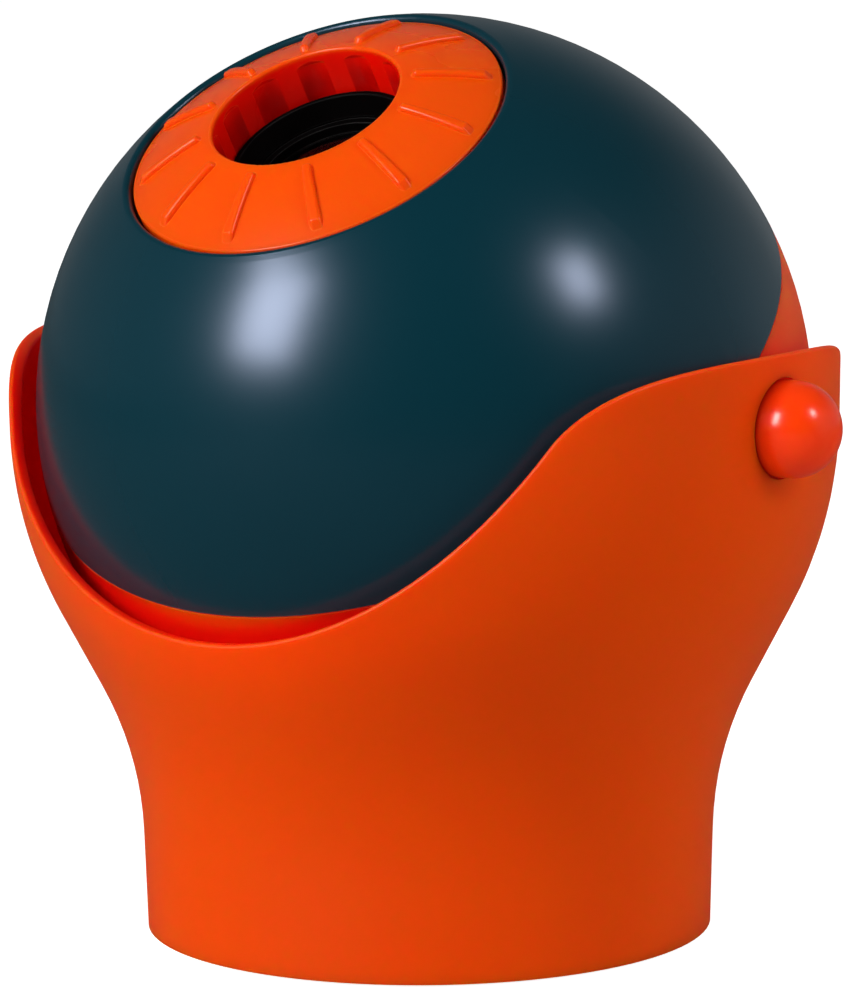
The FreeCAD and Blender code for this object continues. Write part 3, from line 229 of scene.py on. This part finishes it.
# fine moulded grain: a height made of two noises, and a mask that drifts slowly over the surface
def buildGrain():
    group, start, end = newGroup(
        "mouldedGrain",
        [("Scale", "NodeSocketFloat", 2600.0), ("Coarse", "NodeSocketFloat", 0.35),
         ("Coarse Scale", "NodeSocketFloat", 0.22), ("Drift Scale", "NodeSocketFloat", 14.0)],
        [("Height", "NodeSocketFloat"), ("Drift", "NodeSocketFloat")],
    )
    coords = addNode(group, "ShaderNodeTexCoord")
    fine = addNode(group, "ShaderNodeTexNoise")
    fine.inputs["Detail"].default_value = 2.0
    coarse = addNode(group, "ShaderNodeTexNoise")
    coarse.inputs["Detail"].default_value = 3.0
    drift = addNode(group, "ShaderNodeTexNoise")
    drift.inputs["Detail"].default_value = 4.0
    for noise in (fine, coarse, drift):
        group.links.new(coords.outputs["Object"], noise.inputs["Vector"])
    group.links.new(start.outputs["Scale"], fine.inputs["Scale"])
    coarseScale = mathNode(group, "MULTIPLY", start.outputs["Scale"], start.outputs["Coarse Scale"])
    group.links.new(coarseScale, coarse.inputs["Scale"])
    group.links.new(start.outputs["Drift Scale"], drift.inputs["Scale"])
    waves = mathNode(group, "MULTIPLY", coarse.outputs[0], start.outputs["Coarse"])
    group.links.new(mathNode(group, "ADD", fine.outputs[0], waves), end.inputs["Height"])
    group.links.new(drift.outputs[0], end.inputs["Drift"])
    return group


# shifts a colour a little lighter or darker with a mask
def buildTone():
    group, start, end = newGroup(
        "toneShift",
        [("Color", "NodeSocketColor", (0.5, 0.5, 0.5, 1)), ("Mask", "NodeSocketFloat", 0.5),
         ("Amount", "NodeSocketFloat", 0.06)],
        [("Color", "NodeSocketColor"), ("Shift", "NodeSocketFloat")],
    )
    centred = mathNode(group, "SUBTRACT", start.outputs["Mask"], 0.5)
    shift = mathNode(group, "MULTIPLY", centred, start.outputs["Amount"])
    value = addNode(group, "ShaderNodeHueSaturation")
    group.links.new(mathNode(group, "ADD", shift, 1.0), value.inputs["Value"])
    group.links.new(start.outputs["Color"], value.inputs["Color"])
    group.links.new(value.outputs[0], end.inputs["Color"])
    group.links.new(shift, end.inputs["Shift"])
    return group


edgeWearAndHighlightShape = {
    "turnOver": (0.995, 0.9),       # cosine of the bend at which an edge starts, and is full
    "patches": (0.35, 0.65, 0.4, 1.0),
}


# a mask that is 1 along edges, in patches; the lighter colour it carries is partly real scuffing, partly a painted
# highlight along the edges
def buildEdge():
    group, start, end = newGroup(
        "edgeWearAndHighlight",
        [("Width", "NodeSocketFloat", 0.0004), ("Patch Scale", "NodeSocketFloat", 90.0)],
        [("Edge", "NodeSocketFloat")],
    )
    rounded = addNode(group, "ShaderNodeBevel", samples=4)
    group.links.new(start.outputs["Width"], rounded.inputs["Radius"])
    surface = addNode(group, "ShaderNodeNewGeometry")
    match = addNode(group, "ShaderNodeVectorMath", operation="DOT_PRODUCT")
    group.links.new(rounded.outputs[0], match.inputs[0])
    group.links.new(surface.outputs["Normal"], match.inputs[1])
    edge = rangeNode(group, match.outputs["Value"], *edgeWearAndHighlightShape["turnOver"])
    coords = addNode(group, "ShaderNodeTexCoord")
    noise = addNode(group, "ShaderNodeTexNoise")
    group.links.new(coords.outputs["Object"], noise.inputs["Vector"])
    group.links.new(start.outputs["Patch Scale"], noise.inputs["Scale"])
    wearAndHighlight = rangeNode(group, noise.outputs[0], *edgeWearAndHighlightShape["patches"])
    group.links.new(mathNode(group, "MULTIPLY", edge, wearAndHighlight), end.inputs["Edge"])
    return group


boreFade = {
    "rim": (-0.0002, 0.0009),       # metres below the rim
    "fluteTop": (0.001, 0.007),
    "fluteSide": (-0.6, 0.9),       # degrees inside a flute's edge
}


# masks for the window's opening in the focus ring and for the flutes in its sides; they place a painted deep red
# that stands in for light bounced in the opening and passed through the plastic, and a painted shade in the flutes
def buildBore():
    group, start, end = newGroup(
        "windowBore",
        [("Radius", "NodeSocketFloat", 0.0193), ("Rim Height", "NodeSocketFloat", 0.0702),
         ("Flutes", "NodeSocketFloat", 12.0), ("Flute Turn", "NodeSocketFloat", 0.4),
         ("Flute Half", "NodeSocketFloat", 8.8)],
        [("Inside", "NodeSocketFloat"), ("Flute", "NodeSocketFloat")],
    )
    coords = addNode(group, "ShaderNodeTexCoord")
    offset = addNode(group, "ShaderNodeVectorMath", operation="SUBTRACT")
    group.links.new(coords.outputs["Object"], offset.inputs[0])
    offset.inputs[1].default_value = ballCentre
    across = dotNode(group, offset.outputs[0], Vector((1, 0, 0)))
    upward = dotNode(group, offset.outputs[0], Vector((0, math.sin(lensTilt), math.cos(lensTilt))))
    height = dotNode(group, offset.outputs[0], lensAxis)
    squares = mathNode(group, "ADD", mathNode(group, "POWER", across, 2.0), mathNode(group, "POWER", upward, 2.0))
    radius = mathNode(group, "SQRT", squares)
    close = mathNode(group, "LESS_THAN", radius, start.outputs["Radius"])
    depth = mathNode(group, "SUBTRACT", start.outputs["Rim Height"], height)
    inside = mathNode(group, "MULTIPLY", close, rangeNode(group, depth, *boreFade["rim"]))
    group.links.new(inside, end.inputs["Inside"])
    turn = mathNode(group, "MULTIPLY", mathNode(group, "ARCTAN2", upward, across), 180 / math.pi)
    pitch = mathNode(group, "DIVIDE", 360.0, start.outputs["Flutes"])
    shifted = mathNode(group, "SUBTRACT", turn, start.outputs["Flute Turn"])
    wrapped = mathNode(group, "PINGPONG", shifted, mathNode(group, "DIVIDE", pitch, 2.0))
    beyond = mathNode(group, "SUBTRACT", start.outputs["Flute Half"], wrapped)
    side = rangeNode(group, beyond, *boreFade["fluteSide"])
    top = rangeNode(group, depth, *boreFade["fluteTop"])
    band = mathNode(group, "MULTIPLY", side, top)
    group.links.new(mathNode(group, "MULTIPLY", inside, band), end.inputs["Flute"])
    return group


footFade = (0.01, 0.035)   # metres over the floor: the painted red of the gaps fades out below this, so the foot of the stand keeps its colour


# a mask that is 1 down in the gaps, for a painted shade and painted bounce light: the deep red there stands in for
# light that has passed through the plastic and off it again and again
def buildHollow():
    group, start, end = newGroup(
        "hollowDepth",
        [("Reach", "NodeSocketFloat", 0.02), ("Open", "NodeSocketFloat", 0.75), ("Deep", "NodeSocketFloat", 0.4)],
        [("Hollow", "NodeSocketFloat")],
    )
    near = addNode(group, "ShaderNodeAmbientOcclusion", samples=6)
    group.links.new(start.outputs["Reach"], near.inputs["Distance"])
    ramp = addNode(group, "ShaderNodeMapRange", interpolation_type="SMOOTHSTEP")
    group.links.new(near.outputs["AO"], ramp.inputs["Value"])
    group.links.new(start.outputs["Open"], ramp.inputs["From Min"])
    group.links.new(start.outputs["Deep"], ramp.inputs["From Max"])
    coords = addNode(group, "ShaderNodeTexCoord")
    height = dotNode(group, coords.outputs["Object"], (0, 0, 1))
    raised = rangeNode(group, height, *footFade)
    group.links.new(mathNode(group, "MULTIPLY", ramp.outputs["Result"], raised), end.inputs["Hollow"])
    return group


# a mask of small round clear dots of different sizes, the stars of the dome
def buildStars():
    group, start, end = newGroup(
        "starDots",
        [("Scale", "NodeSocketFloat", 380.0), ("Size", "NodeSocketFloat", 0.22)],
        [("Star", "NodeSocketFloat")],
    )
    coords = addNode(group, "ShaderNodeTexCoord")
    cells = addNode(group, "ShaderNodeTexVoronoi")
    group.links.new(coords.outputs["Object"], cells.inputs["Vector"])
    group.links.new(start.outputs["Scale"], cells.inputs["Scale"])
    chance = addNode(group, "ShaderNodeSeparateColor")
    group.links.new(cells.outputs["Color"], chance.inputs[0])
    size = mathNode(group, "MULTIPLY", start.outputs["Size"], mathNode(group, "POWER", chance.outputs[0], 2.0))
    group.links.new(mathNode(group, "LESS_THAN", cells.outputs["Distance"], size), end.inputs["Star"])
    return group


grainGroup, toneGroup, edgeGroup = buildGrain(), buildTone(), buildEdge()
boreGroup, hollowGroup, starGroup = buildBore(), buildHollow(), buildStars()

# finishes, one for each of the record's slots, and one for the focus ring
finishes = {
    # edge colours below are partly real scuffing, partly a painted highlight along the edges
    "orange_plastic": {"colour": (0.96, 0.066, 0.0002), "rough": 0.42, "grain": 0.05, "tone": 0.05, "edge": 0.3,
                       # the deep red given for the gaps is a painted shade and painted bounce light
                       "wearAndHighlight": (1.0, 0.26, 0.02), "specular": 0.2, "glow": 1.0, "hollow": (0.98, 0.003, 0.0002)},
    "orange_ring": {"colour": (0.84, 0.072, 0.0001), "rough": 0.27, "grain": 0.05, "tone": 0.05, "edge": 0.35,
                    "wearAndHighlight": (0.95, 0.26, 0.02), "specular": 0.22, "glow": 0.5,
                    # the opening's deep red is painted bounce light, and the flutes' darker red a painted shade
                    "bore": (0.86, 0.004, 0.0002), "flute": (0.55, 0.001, 0.0002)},
    "orange_gloss": {"colour": (0.92, 0.046, 0.0001), "rough": 0.23, "grain": 0.01, "tone": 0.03, "edge": 0.1,
                     "wearAndHighlight": (1.0, 0.2, 0.02), "specular": 0.38, "glow": 0.5, "hollow": (0.6, 0.003, 0.0002)},
    "teal_plastic": {"colour": (0.0002, 0.0248, 0.0365), "rough": 0.26, "grain": 0.06, "tone": 0.06, "edge": 0.03,
                     "tint": (0.68, 0.75, 1.0), "specular": 0.44},
    "black_plastic": {"colour": (0.0008, 0.0006, 0.0006), "rough": 0.6, "grain": 0.08, "tone": 0.2, "edge": 0.04,
                      "specular": 0.02},
    "dark_plastic": {"colour": (0.02, 0.02, 0.022), "rough": 0.45, "grain": 0.08, "tone": 0.15, "edge": 0.03},
    "pale_plastic": {"colour": (0.72, 0.72, 0.68), "rough": 0.4, "grain": 0.03, "tone": 0.05, "edge": 0.04},
    "smoked_dome": {"colour": (0.006, 0.006, 0.008), "rough": 0.08, "grain": 0.005, "tone": 0.1, "coat": 0.5,
                    "stars": (0.75, 0.78, 0.8)},
    "lens_glass": {"colour": (0.95, 0.97, 0.96), "rough": 0.0, "glass": 1.0, "specular": 0.1},
    "film": {"colour": (0.02, 0.03, 0.09), "rough": 0.2, "tone": 0.6},
    "steel": {"colour": (0.55, 0.55, 0.56), "rough": 0.3, "metal": 1.0, "grain": 0.03, "tone": 0.1, "edge": 0.1},
    "rubber_pad": {"colour": (0.012, 0.012, 0.012), "rough": 0.75, "grain": 0.15, "tone": 0.2, "edge": 0.02},
    "green_board": {"colour": (0.004, 0.07, 0.02), "rough": 0.35, "grain": 0.03, "tone": 0.15, "edge": 0.05},
    "white_board": {"colour": (0.75, 0.75, 0.72), "rough": 0.4, "grain": 0.02, "tone": 0.05, "edge": 0.05},
    "led_body": {"colour": (0.8, 0.68, 0.2), "rough": 0.15, "tone": 0.1, "edge": 0.05},
    "motor_case": {"colour": (0.5, 0.5, 0.5), "rough": 0.3, "metal": 1.0, "grain": 0.03, "tone": 0.1, "edge": 0.1},
    "cell_jacket": {"colour": (0.06, 0.07, 0.08), "rough": 0.3, "grain": 0.02, "tone": 0.1, "edge": 0.05},
}
plasticGlow = {"reach": (1.0, 0.06, 0.01), "scale": 0.008}   # how far each colour of light goes in the plastic
grainDepth = 0.00004   # metres, at a grain of 1


def mixColour(tree, mask, before, after):
    node = addNode(tree, "ShaderNodeMix", data_type="RGBA")
    tree.links.new(mask, node.inputs["Factor"])
    for socket, value in zip((node.inputs[6], node.inputs[7]), (before, after)):   # its two colour sockets
        if isinstance(value, tuple):
            socket.default_value = (*value, 1)
        else:
            tree.links.new(value, socket)
    return node.outputs[2]


def makeFinish(name, look):
    material = bpy.data.materials.new(name)
    material.use_nodes = True
    tree = material.node_tree
    shader = tree.nodes["Principled BSDF"]
    shader.inputs["Metallic"].default_value = look.get("metal", 0.0)
    shader.inputs["Coat Weight"].default_value = look.get("coat", 0.0)
    shader.inputs["Transmission Weight"].default_value = look.get("glass", 0.0)
    shader.inputs["Specular IOR Level"].default_value = look.get("specular", 0.5)
    shader.inputs["Specular Tint"].default_value = (*look.get("tint", (1, 1, 1)), 1)
    shader.inputs["Subsurface Weight"].default_value = look.get("glow", 0.0)
    shader.inputs["Subsurface Radius"].default_value = plasticGlow["reach"]
    shader.inputs["Subsurface Scale"].default_value = plasticGlow["scale"]
    grain = addNode(tree, "ShaderNodeGroup", node_tree=grainGroup)
    tone = addNode(tree, "ShaderNodeGroup", node_tree=toneGroup)
    tone.inputs["Color"].default_value = (*look["colour"], 1)
    tone.inputs["Amount"].default_value = look.get("tone", 0.0)
    tree.links.new(grain.outputs["Drift"], tone.inputs["Mask"])
    colour = tone.outputs["Color"]
    # paint the ring's opening deep red as painted bounce light, with a painted shade in the flutes
    if look.get("bore"):
        bore = addNode(tree, "ShaderNodeGroup", node_tree=boreGroup)
        paintedBoreWall = mixColour(tree, bore.outputs["Flute"], look["bore"], look["flute"])
        colour = mixColour(tree, bore.outputs["Inside"], colour, paintedBoreWall)
    # paint the gaps deep red: a painted shade and painted bounce light
    if look.get("hollow"):
        hollow = addNode(tree, "ShaderNodeGroup", node_tree=hollowGroup)
        colour = mixColour(tree, hollow.outputs["Hollow"], colour, look["hollow"])
    if look.get("stars"):
        star = addNode(tree, "ShaderNodeGroup", node_tree=starGroup)
        colour = mixColour(tree, star.outputs["Star"], colour, look["stars"])
    rough = mathNode(tree, "ADD", tone.outputs["Shift"], look["rough"])
    # lighter, rougher edges: partly real scuffing, partly a painted highlight
    if look.get("edge"):
        edge = addNode(tree, "ShaderNodeGroup", node_tree=edgeGroup)
        wearAndHighlight = mathNode(tree, "MULTIPLY", edge.outputs["Edge"], look["edge"])
        colour = mixColour(tree, wearAndHighlight, colour, look.get("wearAndHighlight", (0.9, 0.9, 0.9)))
        rough = mathNode(tree, "ADD", rough, wearAndHighlight)
    tree.links.new(colour, shader.inputs["Base Color"])
    tree.links.new(rough, shader.inputs["Roughness"])
    if look.get("grain"):
        bump = addNode(tree, "ShaderNodeBump")
        bump.inputs["Strength"].default_value = 1.0
        bump.inputs["Distance"].default_value = grainDepth * look["grain"]
        tree.links.new(grain.outputs["Height"], bump.inputs["Height"])
        tree.links.new(bump.outputs["Normal"], shader.inputs["Normal"])
    return material


materials = {name: makeFinish(name, look) for name, look in finishes.items()}
slotOf = {part["node"]: part["material_slot"] for part in frame["record"]["subparts"]}
slotOf["focus_ring"] = "orange_ring"
for name, node in nodes.items():
    node.data.materials.clear()
    node.data.materials.append(materials[slotOf[name]])
print("finishes set:", len(materials))
